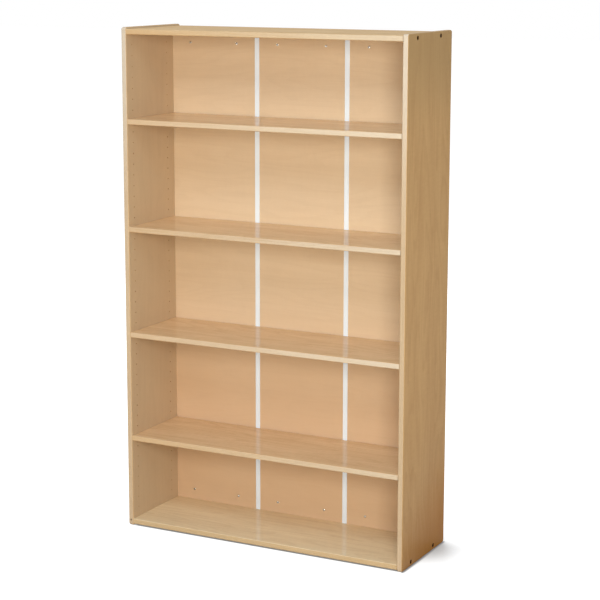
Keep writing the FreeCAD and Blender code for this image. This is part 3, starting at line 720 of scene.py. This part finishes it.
zinc_metal = metal(
    "back_screw_metal",
    bright=screen(246, 246, 242),
    dull=screen(196, 196, 188),
    roughness=0.14,
    lines=(0.0006, 0.0006, 0.0006),
    patch_size=0.0016,
    recess=cross_recess,
)
for part, height in heights.items():
    places = [(column, head_front, height) for column in columns]
    turn = (math.radians(-90), 0, 0)
    label = f"back_screws_{part}"
    name = f"{label}_threaded"
    row_of_screws(name, back_screw, places, turn, zinc_metal, "case", label)

# ---- Floor, light and camera ---------------------------------------------------------------
# A plain white floor, an even white surround, and three large soft lamps: one in front on the
# right, one high in front and one behind. None of it is part of the bookcase.

FLOOR_REACH = 30
FLOOR_WHITE = 0.9
FLOOR_MATTE = (0.46, 0.48, 0.50, 1)
SHADE_REACH = 0.15
SHADE_STRENGTH = 0.88
CONTACT_LINE_STRENGTH = 0.85
BOUNCE_REACH = 0.9
half_width, half_depth = cad_box[1][0], cad_box[1][1]


def seen_directly(start):
    """1 for what is looked at, also in a mirror or through glass, and 0 for the light on things."""
    path = start.node("ShaderNodeLightPath", output="Is Camera Ray")
    return path.larger(path.other("Is Glossy Ray").larger(path.other("Is Transmission Ray")))


material, start = new_material("floor_white")
seen = seen_directly(start)
x = start.node("ShaderNodeSeparateXYZ", sockets={0: start.node("ShaderNodeTexCoord", output="Object")})
y = x.other(1)

# How far a spot is from the foot of the case, to its side, in front of it or behind it
beside = (abs(x) - half_width).larger(0.0)
before = (abs(y) - half_depth).larger(0.0)
in_front = (0 - y).smooth(half_depth - 0.009, half_depth + 0.002)
on_left = (0 - x).smooth(half_width - 0.03, half_width + 0.01)
far_right = x.smooth(0.40, 0.50) * y.smooth(0.10, 0.24)
near_right = x.smooth(0.458, 0.47) * (0 - y).smooth(-0.08, 0.13)

# The light that the floor throws back on the case is warm near its foot
dim = (1 - beside.diagonal(before).smooth(0.0, BOUNCE_REACH)) * (1 - in_front)
bounce = dim.blend(screen(226, 212, 184), screen(116, 62, 22))
matte = start.node("ShaderNodeBsdfDiffuse", sockets={"Color": seen.blend(bounce, FLOOR_MATTE)})

# The contact shadow, painted on the floor, which fades out where the lamps reach under the edges, and a
# darker painted shadow line along the foot of the right side
open_sky = start.node("ShaderNodeAmbientOcclusion", {"samples": 16}, {"Distance": SHADE_REACH}, "AO")
shade = (1 - open_sky ** 3.0) * SHADE_STRENGTH * (1 - in_front) * (1 - on_left * 0.84)
shade = shade * (1 - far_right) * (1 - near_right)
contact_line_shade = (1 - beside.smooth(0.001, 0.008)) * x.smooth(half_width - 0.004, half_width)
contact_line_shade = contact_line_shade * (1 - before.smooth(0.0, 0.003))
lit = seen * (1 - shade) * (1 - contact_line_shade * CONTACT_LINE_STRENGTH) * FLOOR_WHITE
glow = start.node("ShaderNodeEmission", sockets={"Color": (1, 1, 1, 1), "Strength": lit})
both = start.node("ShaderNodeAddShader", sockets={0: matte, 1: glow})
start.node("ShaderNodeOutputMaterial", sockets={"Surface": both})
corners = [(FLOOR_REACH * left, FLOOR_REACH * rear, 0) for left, rear in ((-1, -1), (1, -1), (1, 1), (-1, 1))]
floor_mesh = bpy.data.meshes.new("floor")
floor_mesh.from_pydata(corners, [], [(0, 1, 2, 3)])
floor_mesh.materials.append(material)
floor = bpy.data.objects.new("floor", floor_mesh)
bpy.context.scene.collection.objects.link(floor)

# The surround is white to look at, and lights the case a little more from above
SKY_LEVEL = 0.26
SKY_RISE = 0.14

world = bpy.data.worlds.new("surround")
world.use_nodes = True
world.node_tree.nodes.clear()
bpy.context.scene.world = world
start = Value(world.node_tree)
seen = seen_directly(start)
toward = start.node("ShaderNodeTexCoord", output="Generated")
upward = start.node("ShaderNodeSeparateXYZ", sockets={0: toward}, output=2)
ambient = SKY_LEVEL + upward.clamped() * SKY_RISE
sockets = {"Color": (1, 1, 1, 1), "Strength": ambient + seen * (1 - ambient)}
start.node("ShaderNodeOutputWorld", sockets={"Surface": start.node("ShaderNodeBackground", sockets=sockets)})

LAMP_AIM = (0, 0, 0.9)


def lamp(name, place, size, power, tint, glints=True):
    """A square soft lamp that points at the middle of the case. Without glints, nothing mirrors it."""
    light = bpy.data.lights.new(name, "AREA")
    light.shape = "SQUARE"
    light.size = size
    light.energy = power
    light.color = tint
    holder = bpy.data.objects.new(name, light)
    holder.location = place
    holder.rotation_euler = (Vector(LAMP_AIM) - Vector(place)).to_track_quat("-Z", "Y").to_euler()
    holder.visible_camera = False
    holder.visible_glossy = glints
    bpy.context.scene.collection.objects.link(holder)


lamp("key", (2.3, -3.8, 1.7), size=1.3, power=100, tint=(1.0, 0.97, 0.92))
lamp("overhead", (0.1, -3.5, 4.2), size=1.8, power=92, tint=(0.90, 0.97, 1.0))
lamp("behind", (-2.2, 4.4, 3.2), size=1.8, power=150, tint=(1.0, 1.0, 1.0), glints=False)

# The camera stands where the photograph was taken from; its shift takes up 30 of the picture's rows
PHOTO_SIZE = 600
SHIFT_ROWS = -30
SENSOR_WIDTH = 36
FOCAL_LENGTH = 1744.87
EYE = (2.37054, -4.45749, 1.71769)
YAW, PITCH, ROLL = 27.492, -10.223, -0.094

camera_data = bpy.data.cameras.new("camera")
camera_data.sensor_width = SENSOR_WIDTH
camera_data.lens = FOCAL_LENGTH * SENSOR_WIDTH / PHOTO_SIZE
camera_data.shift_y = SHIFT_ROWS / PHOTO_SIZE
camera_data.clip_end = 200
camera = bpy.data.objects.new("camera", camera_data)
camera.location = EYE
camera.rotation_euler = (math.radians(90 + PITCH), math.radians(ROLL), math.radians(YAW))
bpy.context.scene.collection.objects.link(camera)
bpy.context.scene.camera = camera
bpy.context.scene.view_settings.view_transform = "Standard"
